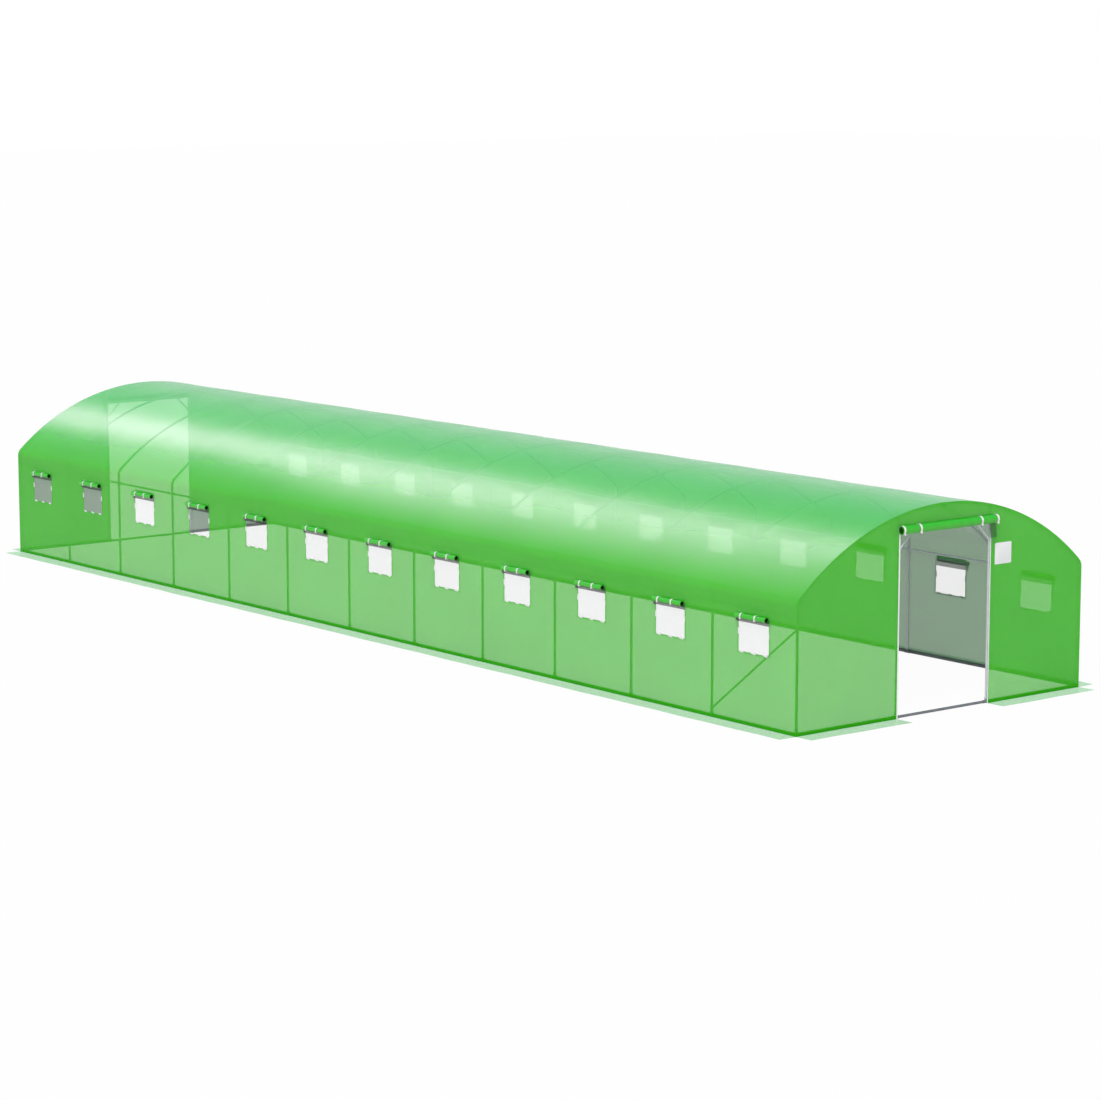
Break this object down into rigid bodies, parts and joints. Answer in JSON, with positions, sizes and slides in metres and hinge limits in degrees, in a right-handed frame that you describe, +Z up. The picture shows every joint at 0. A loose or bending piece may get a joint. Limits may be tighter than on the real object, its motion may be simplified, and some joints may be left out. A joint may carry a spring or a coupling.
{
  "type": "polytunnel greenhouse",
  "caption": "Long polytunnel greenhouse: steel tube hoops under a green film, a roll-up door in each end, net windows with rolled flaps along both sides, and a ground skirt.",
  "frame": {"origin": "on the ground at the middle of the tunnel", "axes": "+X across to the right seen from the front, +Y along the tunnel from the front door to the back door, +Z up"},
  "size_m": [4.44, 15.44, 2.12],
  "materials": {
    "galvanised_tube": "galvanised",
    "green_film": "translucent, scrim-reinforced",
    "pale_film": "translucent",
    "net": "fine woven net",
    "flap_film": "rolled film"
  },
  "bodies": {
    "root": {"hoop_01": "galvanised_tube", "hoop_02": "galvanised_tube", "hoop_03": "galvanised_tube", "hoop_04": "galvanised_tube", "hoop_05": "galvanised_tube", "hoop_06": "galvanised_tube", "hoop_07": "galvanised_tube", "hoop_08": "galvanised_tube", "hoop_09": "galvanised_tube", "hoop_10": "galvanised_tube", "hoop_11": "galvanised_tube", "hoop_12": "galvanised_tube", "hoop_13": "galvanised_tube", "left_ground_rail": "galvanised_tube", "right_ground_rail": "galvanised_tube", "front_ground_rail": "galvanised_tube", "back_ground_rail": "galvanised_tube", "left_eave_purlin": "galvanised_tube", "right_eave_purlin": "galvanised_tube", "ridge_purlin": "galvanised_tube", "left_wind_brace": "galvanised_tube", "right_wind_brace": "galvanised_tube", "front_door_frame": "galvanised_tube", "back_door_frame": "galvanised_tube", "left_base_tees": "galvanised_tube", "right_base_tees": "galvanised_tube", "left_eave_clamps": "galvanised_tube", "right_eave_clamps": "galvanised_tube", "ridge_clamps": "galvanised_tube", "door_frame_tees": "galvanised_tube", "roof_film": "green_film", "left_wall_film": "green_film", "right_wall_film": "green_film", "front_film": "green_film", "back_film": "green_film", "left_skirt": "pale_film", "right_skirt": "pale_film", "front_skirts": "pale_film", "back_skirts": "pale_film", "left_window_nets": "net", "right_window_nets": "net", "left_window_rolls": "flap_film", "right_window_rolls": "flap_film", "front_door_roll": "flap_film", "back_door_roll": "flap_film"}
  },
  "joints": []
}
